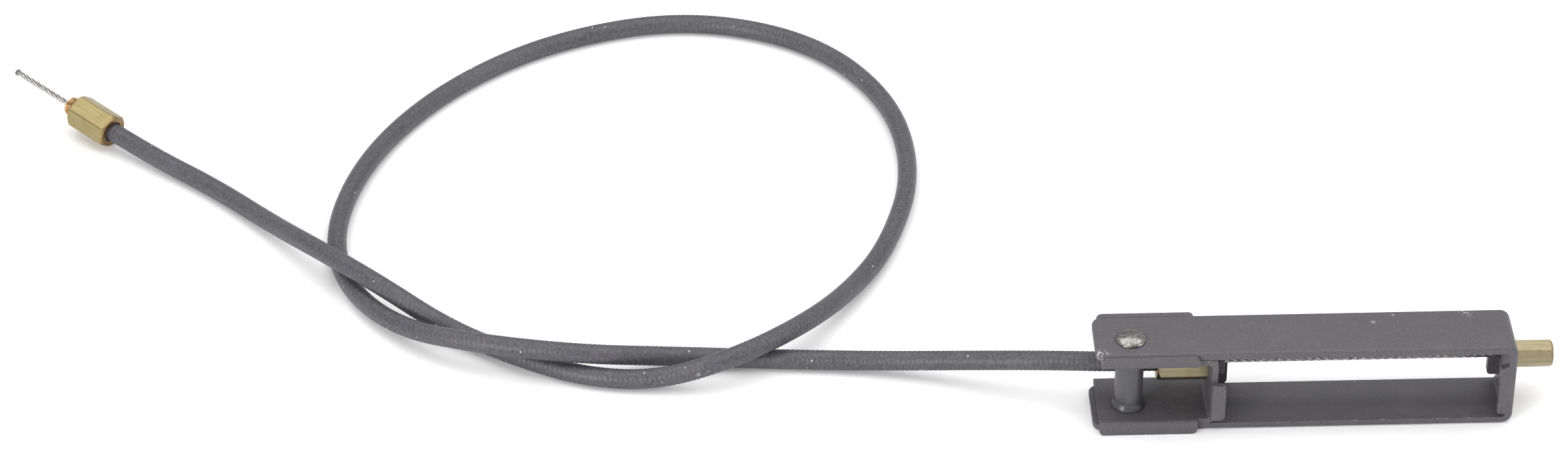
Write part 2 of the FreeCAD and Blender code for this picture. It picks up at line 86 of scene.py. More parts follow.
# the cable's route from the far fitting to the bracket, its corners listed
ROUTE = [
    tuple(FAR_END + FAR_AXIS * 4.5 * MM),
    tuple(FAR_END - FAR_AXIS * 13 * MM),
    (-0.274, 0.0976, 0.0025),
    (-0.258, 0.0796, 0.0034),
    (-0.2455, 0.0616, 0.0084),
    (-0.23, 0.0466, 0.0084),
    (-0.213, 0.0346, 0.0032),
    (-0.196, 0.0236, 0.0025),
    (-0.179, 0.0146, 0.0025),
    (-0.161, 0.0121, 0.0029),
    (-0.143, 0.0131, 0.0083),
    (-0.126, 0.0256, 0.0083),
    (-0.113, 0.0451, 0.004),
    (-0.102, 0.0666, 0.0025),
    (-0.094, 0.0986, 0.0025),
    (-0.0985, 0.1326, 0.0025),
    (-0.118, 0.1606, 0.0025),
    (-0.151, 0.1726, 0.0025),
    (-0.186, 0.1636, 0.0025),
    (-0.214, 0.1426, 0.0025),
    (-0.234, 0.1136, 0.0025),
    (-0.243, 0.0806, 0.0025),
    (-0.2395, 0.0551, 0.0025),
    (-0.226, 0.0346, 0.004),
    (-0.206, 0.0216, 0.0083),
    (-0.18, 0.0161, 0.0084),
    (-0.157, 0.0216, 0.003),
    (-0.134, 0.0204, 0.0025),
    (-0.108, 0.0181, 0.003),
    (-0.084, 0.0124, 0.0069),
    (-0.066, 0.0063, 0.0111),
    (-0.05, 0.0047, 0.0115),
    (-0.036, 0.0047, 0.0115),
]

# ---------------------------------------------------------------- camera


def add_camera():
    azimuth, elevation = math.radians(1.913), math.radians(35.83)
    data = bpy.data.cameras.new("camera")
    data.lens = 114.24
    data.sensor_width = 36
    data.clip_start = 0.01
    camera = bpy.data.objects.new("camera", data)
    camera.location = (-0.16250, -0.95040, 0.74428)
    camera.rotation_euler = (math.pi / 2 - elevation, 0, -azimuth)
    bpy.context.collection.objects.link(camera)
    bpy.context.scene.camera = camera


add_camera()

# ---------------------------------------------------------------- shader writing


class Value:
    """A shader socket; arithmetic on it adds Math nodes."""

    def __init__(self, finish, socket):
        self.finish = finish
        self.socket = socket

    def math(self, operation, *terms):
        node = self.finish.add("Math", {"operation": operation}, dict(enumerate(terms)))
        return Value(self.finish, node.outputs[0])

    def __add__(self, other):
        return self.math("ADD", self, other)

    def __radd__(self, other):
        return self.math("ADD", other, self)

    def __sub__(self, other):
        return self.math("SUBTRACT", self, other)

    def __rsub__(self, other):
        return self.math("SUBTRACT", other, self)

    def __mul__(self, other):
        return self.math("MULTIPLY", self, other)

    def __rmul__(self, other):
        return self.math("MULTIPLY", other, self)

    def __truediv__(self, other):
        return self.math("DIVIDE", self, other)

    def __abs__(self):
        return self.math("ABSOLUTE", self)

    def power(self, other):
        return self.math("POWER", self, other)

    def most(self, other):
        return self.math("MAXIMUM", self, other)

    def step(self, low, high):
        """0 below low, 1 above high, smooth between."""
        settings = {"interpolation_type": "SMOOTHSTEP"}
        node = self.finish.add("MapRange", settings, {"Value": self, "From Min": low, "From Max": high})
        return Value(self.finish, node.outputs[0])


class Finish:
    """A material; every node in it comes from add()."""

    def __init__(self, name, **fixed):
        self.material = bpy.data.materials.new(name)
        self.material.use_nodes = True
        self.tree = self.material.node_tree
        self.shader = self.tree.nodes["Principled BSDF"]
        self.set(**{key.replace("_", " "): value for key, value in fixed.items()})

    def link(self, socket, value):
        if isinstance(value, Value):
            value = value.socket
        if isinstance(value, bpy.types.NodeSocket):
            self.tree.links.new(value, socket)
        else:
            socket.default_value = value

    def add(self, kind, settings=None, values=None):
        node = self.tree.nodes.new("ShaderNode" + kind)
        for key, setting in (settings or {}).items():
            if key == "stops":
                self.set_stops(node.color_ramp, setting)
            else:
                setattr(node, key, setting)
        for key, value in (values or {}).items():
            self.link(node.inputs[key], value)
        return node

    @staticmethod
    def set_stops(ramp, stops):
        while len(ramp.elements) < len(stops):
            ramp.elements.new(0.5)
        for element, (place, color) in zip(ramp.elements, stops):
            element.position = place
            element.color = (*color, 1)

    def set(self, **values):
        for key, value in values.items():
            self.link(self.shader.inputs[key], value)

    def place(self):
        return self.add("TexCoord").outputs["Object"]

    def coordinates(self):
        node = self.add("SeparateXYZ", values={"Vector": self.place()})
        return [Value(self, output) for output in node.outputs]

    def along(self, axis):
        """How far a point lies along an axis through the origin."""
        node = self.add("VectorMath", {"operation": "DOT_PRODUCT"}, {0: self.place(), 1: tuple(axis)})
        return Value(self, node.outputs["Value"])

    def reach_from(self, x, y, middle):
        """Distance from an upright line through middle, an (x, y) pair."""
        return ((x - middle[0]).power(2.0) + (y - middle[1]).power(2.0)).power(0.5)

    def noise(self, scale, detail=2.0, roughness=0.5, vector=None, distortion=0.0):
        values = {"Vector": vector or self.place(), "Scale": scale, "Detail": detail,
                  "Roughness": roughness, "Distortion": distortion}
        return Value(self, self.add("TexNoise", None, values).outputs["Fac"])

    def streaks(self, axis, across_scale, along_scale):
        """Noise drawn out along an axis, as a cutting or drawing tool leaves it."""
        side, up = across(np.array(axis))
        scales = (along_scale, across_scale, across_scale)
        parts = [self.along(direction) * scale for direction, scale in zip((axis, side, up), scales)]
        vector = self.add("CombineXYZ", None, dict(enumerate(parts))).outputs[0]
        return self.noise(1.0, 3.0, 0.6, vector)

    def specks(self, scale, share, softness=0.02):
        """Small round dots: 1 in the middle of the few cells of a random pattern that are picked."""
        cells = self.add("TexVoronoi", {"feature": "F1"}, {"Vector": self.place(), "Scale": scale})
        chosen = self.add("SeparateColor", None, {"Color": cells.outputs["Color"]}).outputs["Red"]
        near = 1 - Value(self, cells.outputs["Distance"]).step(0.12, 0.3)
        return near * Value(self, chosen).step(1 - share, 1 - share + softness)

    def mix(self, factor, first, second):
        """A blend of two colours."""
        def color(value):
            return (*value, 1) if isinstance(value, (tuple, list)) else value
        node = self.add("Mix", {"data_type": "RGBA"}, {0: factor, 6: color(first), 7: color(second)})
        return node.outputs[2]

    def bump(self, height, distance, strength=1.0):
        """Raise the surface by height (0 to 1) times distance, in metres."""
        node = self.add("Bump", None, {"Height": height, "Distance": distance, "Strength": strength})
        self.set(Normal=node.outputs["Normal"])


def across(axis):
    """Two unit vectors square to an axis: one level, and the other upright or nearly so."""
    side = np.cross(Z_AXIS, axis) if abs(axis[2]) < 0.9 else np.array([0, 1.0, 0])
    side = side / np.linalg.norm(side)
    return side, np.cross(axis, side)


# ---------------------------------------------------------------- finishes

# marks on the top plate, as (x, y) pairs, and the heights between which they begin to show
FRONT_LEFT_CHIPS = (-0.0552, -0.0072)
BACK_RIGHT_CHIPS = (0.0345, 0.0068)
PALE_SCUFF = (0.0115, 0.0035)
TOP_PLATE_ONLY = (0.018, 0.019)


def bracket_paint(name, worn):
    """Thin satin paint over steel: fine speckle, faint rusty blotches, and chips where it is worn."""
    finish = Finish(name, Specular_IOR_Level=0.55)
    grain = finish.noise(4200, 3, 0.65)
    cloud = finish.noise(120, 4, 0.6)
    rust = finish.noise(75, 5, 0.7, distortion=0.6).step(0.5, 0.72)
    base = finish.mix(grain.step(0.34, 0.66), (0.044, 0.042, 0.048), (0.104, 0.097, 0.109))
    base = finish.mix(rust * 0.5, base, (0.114, 0.086, 0.092))
    base = finish.mix(cloud.step(0.35, 0.75) * 0.35, base, (0.066, 0.063, 0.075))
    pits = finish.specks(1500, 0.10)
    base = finish.mix(pits * 0.5, base, (0.030, 0.028, 0.031))
    base = finish.mix(finish.specks(1900, 0.09) * 0.45, base, (0.235, 0.222, 0.228))
    chips = finish.noise(900, 4, 0.7).step(0.70 - worn * 0.20, 0.74 - worn * 0.20)
    dots = finish.specks(420, 0.012 + 0.05 * worn)
    x, y, z = finish.coordinates()
    corner = 1 - finish.reach_from(x, y, FRONT_LEFT_CHIPS).step(0.0006, 0.0026)
    end = 1 - finish.reach_from(x, y, BACK_RIGHT_CHIPS).step(0.0004, 0.0022)
    worn_spots = corner.most(end) * finish.noise(1500, 3, 0.6).step(0.52, 0.60)
    scuff = 1 - finish.reach_from(x, y, PALE_SCUFF).step(0.0001, 0.0009)
    marks = worn_spots.most(scuff * finish.noise(2600, 2).step(0.35, 0.7) * 0.8) * z.step(*TOP_PLATE_ONLY)
    bare = chips.most(dots).most(marks)
    base = finish.mix(bare * 0.85, base, (0.50, 0.48, 0.48))
    finish.set(**{"Base Color": base})
    finish.set(Roughness=0.40 + grain * 0.16 + cloud * 0.10 - bare * 0.1)
    finish.set(Metallic=bare * 0.6)
    finish.bump(grain * 0.6 + cloud * 0.4 - bare * 0.8, 0.00003, 0.7)
    return finish.material


def dark_post():
    finish = Finish("post_dark", Specular_IOR_Level=0.5)
    grain = finish.noise(3600, 3, 0.6)
    x, y, z = finish.coordinates()
    stretched = finish.add("CombineXYZ", None, {0: x * 2500, 1: y * 2500, 2: z * 120}).outputs[0]
    drawn = finish.noise(1.0, 3, 0.6, stretched)
    # painted shade: the post's colour is darkened towards its foot, where it stands on the plate
    foot = 1 - (z - POST_LOW[2]).step(0.0, 0.0045)
    base = finish.mix(drawn, (0.046, 0.044, 0.050), (0.090, 0.086, 0.095))
    base = finish.mix(foot * 0.55, base, (0.026, 0.025, 0.029))
    finish.set(**{"Base Color": base})
    finish.set(Roughness=0.26 + grain * 0.12)
    finish.bump(drawn * 0.5 + grain * 0.5, 0.00002, 0.6)
    return finish.material


def machined_brass(name, axis, light, dark, ends):
    """Brass drawn and cut along an axis; ends are the places along it where it is browned."""
    finish = Finish(name, Metallic=1.0)
    drawn = finish.streaks(axis, 5200, 60)
    broad = finish.streaks(axis, 900, 40)
    tarnish = finish.noise(260, 4, 0.65).step(0.45, 0.75)
    base = finish.mix(drawn.step(0.3, 0.7) * 0.7 + broad * 0.3, dark, light)
    base = finish.mix(tarnish * 0.4, base, (0.26, 0.20, 0.10))
    along = finish.along(axis)
    rim = None
    for end in ends:
        near = 1 - abs(along - end).step(0.0001, 0.0009)
        rim = near if rim is None else rim.most(near)
    base = finish.mix(rim * (0.45 + 0.4 * finish.noise(700, 3)), base, (0.22, 0.125, 0.058))
    finish.set(**{"Base Color": base})
    finish.set(Roughness=0.27 + drawn * 0.2 + tarnish * 0.12)
    finish.bump(drawn * 0.7 + broad * 0.3, 0.00002, 0.8)
    return finish.material


def rough_nut():
    """Blackened steel with brown flecks and bright rubbed spots."""
    finish = Finish("nut_dark")
    grit = finish.noise(1500, 5, 0.7)
    fleck = finish.noise(800, 4, 0.7).step(0.54, 0.66)
    rubbed = finish.noise(620, 5, 0.75, distortion=0.4).step(0.62, 0.70)
    base = finish.mix(grit, (0.065, 0.060, 0.066), (0.150, 0.138, 0.146))
    base = finish.mix(fleck * 0.7, base, (0.160, 0.085, 0.048))
    base = finish.mix(rubbed * 0.6, base, (0.36, 0.34, 0.33))
    finish.set(**{"Base Color": base})
    finish.set(Roughness=0.5 + grit * 0.3 - rubbed * 0.2)
    finish.set(Metallic=0.35 + rubbed * 0.5)
    finish.bump(grit, 0.00012, 0.9)
    return finish.material


def rivet_nickel():
    """Bright plated steel with hammer scuffs near its rim, and painted shade darkening the back half of its
    dome.
    """
    finish = Finish("rivet_nickel", Metallic=1.0)
    scuff = finish.noise(1300, 4, 0.7)
    dent = finish.noise(520, 2, 0.5)
    x, y, z = finish.coordinates()
    middle = (RIVET_LOW + RIVET_HIGH) / 2
    reach = finish.reach_from(x, y, middle)
    rim = reach.step(0.0026, 0.0037)
    base = finish.mix(scuff.step(0.35, 0.7), (0.17, 0.165, 0.157), (0.42, 0.41, 0.39))
    nick_x, nick_y = 0.0006, -0.0032
    off_nick = (abs(x - middle[0] - nick_x) / 0.0011).most(abs(y - middle[1] - nick_y) / 0.0007)
    nick = 1 - off_nick.step(0.5, 1.0)
    base = finish.mix(rim * 0.3 + nick * 0.6, base, (0.10, 0.09, 0.08))
    # painted shade: the dome's colour darkens towards its back, standing in for the shade over its far half
    base = finish.mix((y - middle[1]).step(-0.0014, 0.0022) * 0.6, base, (0.055, 0.054, 0.053))
    finish.set(**{"Base Color": base})
    finish.set(Roughness=0.13 + scuff * 0.16 + rim * 0.06)
    finish.bump(dent * 0.7 + scuff * 0.3, 0.00006, 0.6)
    return finish.material


def stranded_steel():
    finish = Finish("wire_steel", Metallic=1.0)
    shade = finish.noise(2600, 3, 0.6)
    base = finish.mix(shade.step(0.3, 0.7), (0.26, 0.255, 0.25), (0.66, 0.65, 0.63))
    finish.set(**{"Base Color": base})
    finish.set(Roughness=0.22 + shade * 0.16)
    return finish.material


def dull_bead():
    finish = Finish("tip_dark", Metallic=0.8)
    shade = finish.noise(3000, 3, 0.6)
    finish.set(**{"Base Color": finish.mix(shade, (0.10, 0.095, 0.09), (0.27, 0.26, 0.25))})
    finish.set(Roughness=0.4 + shade * 0.2)
    finish.bump(shade, 0.00003, 0.7)
    return finish.material


def nose_bronze():
    finish = Finish("nose_bronze", Metallic=1.0)
    stain = finish.noise(1100, 4, 0.7)
    base = finish.mix(stain.step(0.35, 0.65), (0.38, 0.225, 0.105), (0.64, 0.455, 0.255))
    finish.set(**{"Base Color": base})
    finish.set(Roughness=0.3 + stain * 0.2)
    finish.bump(stain, 0.00003, 0.6)
    return finish.material


def cable_vinyl():
    """Dark grey cover: soft sheen, cloudy handling marks and tiny light specks."""
    finish = Finish("sheath_cover", Specular_IOR_Level=0.55)
    grain = finish.noise(3800, 3, 0.6)
    cloud = finish.noise(70, 4, 0.6)
    rubbed = finish.noise(230, 4, 0.65).step(0.5, 0.8)
    base = finish.mix(grain.step(0.3, 0.7), (0.028, 0.027, 0.033), (0.062, 0.059, 0.070))
    base = finish.mix(cloud.step(0.4, 0.7) * 0.3, base, (0.093, 0.088, 0.100))
    mottle = finish.noise(1300, 3, 0.65).step(0.42, 0.62)
    base = finish.mix(mottle * 0.5, base, (0.102, 0.098, 0.112))
    dust = finish.specks(900, 0.03).most(finish.specks(430, 0.010))
    base = finish.mix(dust * 0.75, base, (0.55, 0.55, 0.57))
    finish.set(**{"Base Color": base})
    finish.set(Roughness=0.40 + grain * 0.14 - rubbed * 0.06)
    finish.bump(grain, 0.00003, 0.6)
    return finish.material


# ---------------------------------------------------------------- surfaces


def surface(name, grids, material, loops=False, smooth_angle=35):
    """One mesh from grids of points, each indexed by row along the piece and column round it.

    Each grid's columns close on themselves. Its rows also do when loops is true, as on a bored
    piece; otherwise one face shuts each end. A face's corners run first round, then along, so
    that with columns turning right-handed about the rows' direction it points outwards.
    """
    vertices, faces, start = [], [], 0
    for grid in grids:
        rows, columns = grid.shape[:2]
        row = np.arange(rows if loops else rows - 1)[:, None]
        after = (row + 1) % rows
        column = np.arange(columns)[None, :]
        beside = (column + 1) % columns
        corners = [row * columns + column, row * columns + beside,
                   after * columns + beside, after * columns + column]
        quads = np.stack(corners, axis=-1).reshape(-1, 4) + start
        faces += quads.tolist()
        if not loops:
            faces.append((np.arange(columns)[::-1] + start).tolist())
            faces.append((np.arange(columns) + start + (rows - 1) * columns).tolist())
        vertices.append(grid.reshape(-1, 3))
        start += rows * columns
    mesh = bpy.data.meshes.new(name)
    mesh.from_pydata(np.concatenate(vertices).tolist(), [], faces)
    mesh.polygons.foreach_set("use_smooth", np.ones(len(mesh.polygons), dtype=bool))
    mesh.set_sharp_from_angle(angle=math.radians(smooth_angle))
    mesh.update()
    piece = bpy.data.objects.new(name, mesh)
    bpy.context.collection.objects.link(piece)
    mesh.materials.append(material)
    return piece


def place_round(base, axis, along, radius, angle):
    """Points at a radius and an angle about an axis, the angle counted from the level side."""
    side, up = across(axis)
    points = base + along[..., None] * axis
    return points + radius[..., None] * (np.cos(angle)[..., None] * side + np.sin(angle)[..., None] * up)


def hex_reach(angle, flats, corner_cut):
    """Distance from a hexagon's middle to its outline, its corners turned down to a circle.

    The angle is folded into one side's 60 degrees, and half the flats is divided by its cosine.
    """
    folded = (angle + math.pi / 6) % (math.pi / 3) - math.pi / 6
    return np.minimum(flats / 2 / np.cos(folded), flats / math.sqrt(3) * corner_cut)


def bored_hex(name, base, axis, corner_angle, flats, outline, bore, material):
    """A hexagonal bar with turned ends and a stepped bore, one closed surface.

    The section runs up the outside and back down the bore. Outside, a row's radius is the lesser
    of the hexagon's reach and the row's own turned limit, which makes the curved chamfers.
    outline and bore are (distance along, radius) pairs; bore goes from the far end back.
    """
    along = np.array([place for place, _ in outline + bore])
    limit = np.array([radius for _, radius in outline + bore])
    angle = np.linspace(0, 2 * math.pi, 144, endpoint=False)
    angle_grid, along_grid = np.meshgrid(angle, along)
    _, limit_grid = np.meshgrid(angle, limit)
    reach = np.minimum(hex_reach(angle_grid - corner_angle + math.pi / 6, flats, 0.985), limit_grid)
    return surface(name, [place_round(base, axis, along_grid, reach, angle_grid)], material, loops=True)


def turned(name, base, axis, section, material, loops=False, columns=72):
    """A section of (distance along, radius) pairs turned about an axis."""
    along, radius = np.array(section).T
    angle = np.linspace(0, 2 * math.pi, columns, endpoint=False)
    angle_grid, along_grid = np.meshgrid(angle, along)
    _, radius_grid = np.meshgrid(angle, radius)
    return surface(name, [place_round(base, axis, along_grid, radius_grid, angle_grid)], material, loops)


def ease(start, end, count, bulge):
    """Places from start to end along a quarter turn: a rounded corner's radii or heights."""
    turn = np.linspace(0, math.pi / 2, count)
    share = np.sin(turn) if bulge else 1 - np.cos(turn)
    return start + (end - start) * share


def rope(name, start, axis, length, material, lay=11 * MM, strand_count=6):
    """Laid wire rope: strands wound round a straight core, each strand's wires wound the other way.

    A strand's middle is a helix about the rope's axis. Round that middle its radius swells and
    shrinks with the strand's own wires, whose phase turns back along the strand.
    """
    side, up = across(axis)
    strand = ROPE_DIAMETER / 6
    middle_reach = ROPE_DIAMETER / 3
    s = np.linspace(0, length, int(length / (0.22 * MM)) + 1)[:, None]
    around = np.linspace(0, 2 * math.pi, 18, endpoint=False)[None, :]
    grids = []
    for k in range(strand_count):
        turn = 2 * math.pi * (s / lay + k / strand_count)
        outward = np.cos(turn)[..., None] * side + np.sin(turn)[..., None] * up
        sideways = -np.sin(turn)[..., None] * side + np.cos(turn)[..., None] * up
        wires = 1 + 0.10 * np.cos(6 * (around + 2 * math.pi * s / (lay * 0.55)))
        radius = strand * 0.98 * wires / 1.08
        point = start + s[..., None] * axis + outward * middle_reach
        ring = np.cos(around)[..., None] * outward + np.sin(around)[..., None] * sideways
        grids.append(point + radius[..., None] * ring)
    core_radius = np.full_like(s + around, strand)
    core = start + (s + around * 0)[..., None] * axis
    core = core + core_radius[..., None] * (np.cos(around + s * 0)[..., None] * side
                                            + np.sin(around + s * 0)[..., None] * up)
    return surface(name, grids + [core], material)


def rounded_copy(name, node, materials, width):
    """A sheet piece's own shape with its sharp edges rounded over."""
    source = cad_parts[node]
    mesh = source.data.copy()
    mesh.name = name
    work = bmesh.new()
    work.from_mesh(mesh)
    bmesh.ops.remove_doubles(work, verts=work.verts, dist=1e-6)
    bmesh.ops.dissolve_limit(work, angle_limit=math.radians(0.5), verts=work.verts, edges=work.edges)
    work.to_mesh(mesh)
    work.free()
    mesh.materials.clear()
    for material in materials:
        mesh.materials.append(material)
    mesh.polygons.foreach_set("material_index", np.zeros(len(mesh.polygons), dtype=np.int32))
    mesh.polygons.foreach_set("use_smooth", np.ones(len(mesh.polygons), dtype=bool))
    mesh.set_sharp_from_angle(angle=math.radians(35))
    piece = bpy.data.objects.new(name, mesh)
    bpy.context.collection.objects.link(piece)
    bevel = piece.modifiers.new("edge_round", "BEVEL")
    bevel.width = width
    bevel.segments = 2
    bevel.limit_method = "ANGLE"
    bevel.angle_limit = math.radians(35)
    bevel.material = len(materials) - 1
    bevel.harden_normals = False
    return piece


# ---------------------------------------------------------------- the cable


def route_line():
    """The route as a smooth curve, and points read from it close enough to sweep a tube along."""
    curve = bpy.data.curves.new("cable_route", "CURVE")
    curve.dimensions = "3D"
    curve.resolution_u = 24
    spline = curve.splines.new("NURBS")
    spline.points.add(len(ROUTE) - 1)
    for point, place in zip(spline.points, ROUTE):
        point.co = (*place, 1)
    spline.order_u = 3
    spline.use_endpoint_u = True
    holder = bpy.data.objects.new("cable_route", curve)
    mesh = bpy.data.meshes.new_from_object(holder)
    points = np.empty(len(mesh.vertices) * 3)
    mesh.vertices.foreach_get("co", points)
    bpy.data.objects.remove(holder)
    bpy.data.meshes.remove(mesh)
    return points.reshape(-1, 3)


def resampled(points, spacing):
    """The same line with points at equal distances along it."""
    steps = np.linalg.norm(np.diff(points, axis=0), axis=1)
    reached = np.concatenate([[0], np.cumsum(steps)])
    count = int(reached[-1] / spacing) + 1
    places = np.linspace(0, reached[-1], count)
    return places, np.stack([np.interp(places, reached, points[:, i]) for i in range(3)], axis=1)


def ribbed_cover(material):
    """The cable's cover swept along the route, swelling over the coil beneath it.

    Round the line's level side and upright, the radius is the cover's own less a small groove
    that follows the coil: it repeats every pitch along the cable and winds once round in that.
    A round hole along the first few millimetres leaves the tip's wire room to be drawn in.
    """
    pitch, groove, rows_per_pitch = 1.2 * MM, 0.075 * MM, 4
    line = route_line()
    s, points = resampled(line, pitch / rows_per_pitch)
    smooth = np.gradient(points, axis=0)
    kernel = np.ones(9) / 9
    padded = np.pad(smooth, ((4, 4), (0, 0)), mode="edge")
    tangent = np.stack([np.convolve(padded[:, i], kernel, mode="valid") for i in range(3)], axis=1)
    tangent /= np.linalg.norm(tangent, axis=1)[:, None]
    side = np.cross(Z_AXIS, tangent)
    side /= np.linalg.norm(side, axis=1)[:, None]
    up = np.cross(tangent, side)
    around = np.linspace(0, 2 * math.pi, 22, endpoint=False)[None, :]
    wave = 0.5 + 0.5 * np.cos(2 * math.pi * s[:, None] / pitch - around)
    radius = COVER_DIAMETER / 2 - groove * (1 - wave) ** 2
    ring = np.cos(around)[..., None] * side[:, None] + np.sin(around)[..., None] * up[:, None]
    outside = points[:, None] + radius[..., None] * ring
    hole_depth, hole_radius = 9 * MM, 0.95 * MM
    rows_deep = int(hole_depth / (pitch / rows_per_pitch))
    hole = points[:rows_deep, None] + hole_radius * ring[:rows_deep]
    cover = surface("cable_cover", [np.concatenate([hole[::-1], outside])], material, smooth_angle=60)
    return cover, line


cable_material = cable_vinyl()
cover, cable_line = ribbed_cover(cable_material)
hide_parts("sheath_cover", "sheath_coil", "sheath_liner", "core_wire")
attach(cover, "bracket")

# ---------------------------------------------------------------- the wire rope and its ends


rope_steel = stranded_steel()


def pull_rope():
    start = np.array([ROPE_LOW[0], WIRE_LINE[1], WIRE_LINE[2]])
    piece = rope("pull_rope", start, X_AXIS, ROPE_HIGH[0] - ROPE_LOW[0], rope_steel)
    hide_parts("window_wire")
    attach(piece, "pull_wire")
    return piece


FAR_LENGTH = 12.7 * MM
NOSE_LENGTH = 2.9 * MM
TIP_LENGTH = 18.6 * MM
TIP_ROOT = 7.0 * MM


def far_tip():
    reach = FAR_LENGTH + NOSE_LENGTH + TIP_LENGTH
    piece = rope("tip_rope", FAR_END + FAR_AXIS * TIP_ROOT, FAR_AXIS, reach - TIP_ROOT, rope_steel)
    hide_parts("tip_wire")
    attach(piece, "push_tip")
    corner = 0.3 * MM
    radius, length = 0.85 * MM, 0.9 * MM
    section = [(0.0, radius * 0.9), (0.12 * MM, radius)]
    heights = ease(length - corner, length, 6, True)
    radii = ease(radius, radius - corner, 6, False)
    section += list(zip(heights, radii))
    section.append((length, radius * 0.35))
    section.append((length - 0.12 * MM, 0.12 * MM))
    bead = turned("tip_cap", FAR_END + FAR_AXIS * reach, FAR_AXIS, section, dull_bead(), columns=32)
    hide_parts("tip_bead")
    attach(bead, "push_tip")
    return piece, bead


pull_rope()
tip_rope, tip_cap = far_tip()

# ---------------------------------------------------------------- hexagonal fittings


def chamfered(flats, start, end, depth, first=True, last=True):
    """Outside limits of a hexagonal bar: each chosen end is turned from its flats out to its corners."""
    inner, outer = flats / 2 * 0.97, flats / math.sqrt(3)
    rise = np.linspace(0, 1, 9)
    middle = np.linspace(start + depth, end - depth, 5)[1:-1]
    opening = [(start + depth * t, inner + (outer - inner) * t) for t in rise] if first else [(start, outer)]
    closing = [(end - depth * (1 - t), outer - (outer - inner) * t) for t in rise] if last else [(end, outer)]
    return opening + [(place, outer) for place in middle] + closing




SOCKET = 2.47 * MM
WIRE_BORE = 0.83 * MM
CORNER_DOWN = -math.pi / 2


def frame_hex():
    """The bracket's fitting: a chamfered hexagon, then its nose through the wall, drawn as a plain round bar.
    """
    length = 12.1 * MM
    nose, end = 2.2 * MM, FERRULE_HIGH[0] - FERRULE_LOW[0]
    base = np.array([FERRULE_LOW[0], WIRE_LINE[1], WIRE_LINE[2]])
    brass = machined_brass("ferrule_brass", (1, 0, 0), (0.34, 0.30, 0.20), (0.20, 0.17, 0.105),
                           [FERRULE_LOW[0]])
    outline = chamfered(FERRULE_FLATS, 0, length, 0.9 * MM, last=False)
    outline += [(length, nose), (end - 0.3 * MM, nose), (end, nose - 0.3 * MM)]
    seat, lead = 4.2 * MM, 0.3 * MM
    bore = [(end, WIRE_BORE), (seat, WIRE_BORE), (seat, SOCKET), (lead, SOCKET), (0, SOCKET + lead)]
    piece = bored_hex("ferrule_hex", base, X_AXIS, CORNER_DOWN - FERRULE_TURN, FERRULE_FLATS,
                      outline, bore, brass)
    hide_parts("frame_ferrule")
    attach(piece, "bracket")


def wall_nut():
    thickness = NUT_HIGH[0] - NUT_LOW[0]
    base = np.array([NUT_LOW[0], WIRE_LINE[1], WIRE_LINE[2]])
    outline = chamfered(NUT_FLATS, 0, thickness, 0.6 * MM)
    hole, mouth, lead = 2.22 * MM, 2.45 * MM, 0.25 * MM
    bore = [(thickness, mouth), (thickness - lead, hole), (lead, hole), (0, mouth)]
    piece = bored_hex("wall_nut", base, X_AXIS, CORNER_DOWN, NUT_FLATS, outline, bore, rough_nut())
    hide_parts("lock_nut")
    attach(piece, "bracket")


def terminal_hex():
    length = TERMINAL_HIGH[0] - TERMINAL_LOW[0]
    base = np.array([TERMINAL_LOW[0], WIRE_LINE[1], WIRE_LINE[2]])
    brass = machined_brass("terminal_brass", (1, 0, 0), (0.43, 0.375, 0.25), (0.26, 0.22, 0.135),
                           [TERMINAL_LOW[0], TERMINAL_HIGH[0]])
    outline = chamfered(TERMINAL_FLATS, 0, length, 0.75 * MM, first=False)
    tap, seat, bead = 1.25 * MM, 4.4 * MM, 1.55 * MM
    bore = [(length, tap + 0.3 * MM), (length - 0.3 * MM, tap), (seat, tap), (seat, bead), (2 * MM, bead),
            (2 * MM, WIRE_BORE), (0, WIRE_BORE)]
    piece = bored_hex("terminal_hex", base, X_AXIS, CORNER_DOWN - TERMINAL_TURN, TERMINAL_FLATS,
                      outline, bore, brass)
    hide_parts("pull_terminal")
    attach(piece, "pull_wire")


def far_hex():
    brass = machined_brass("far_brass", tuple(FAR_AXIS), (0.42, 0.35, 0.175), (0.24, 0.19, 0.088),
                           [float(FAR_END @ FAR_AXIS), float(FAR_END @ FAR_AXIS) + FAR_LENGTH])
    outline = chamfered(FAR_FLATS, 0, FAR_LENGTH, 0.8 * MM)
    seat = FAR_LENGTH - 2.0 * MM
    bore = [(FAR_LENGTH, 1.9 * MM), (seat, 1.9 * MM), (seat, WIRE_BORE),
            (4.5 * MM, WIRE_BORE), (4.5 * MM, SOCKET),
            (0.35 * MM, SOCKET), (0, SOCKET + 0.35 * MM)]
    piece = bored_hex("far_hex", FAR_END, FAR_AXIS, CORNER_DOWN + FAR_TURN, FAR_FLATS, outline, bore, brass)
    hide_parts("far_ferrule")
    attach(piece, "bracket")
    return piece


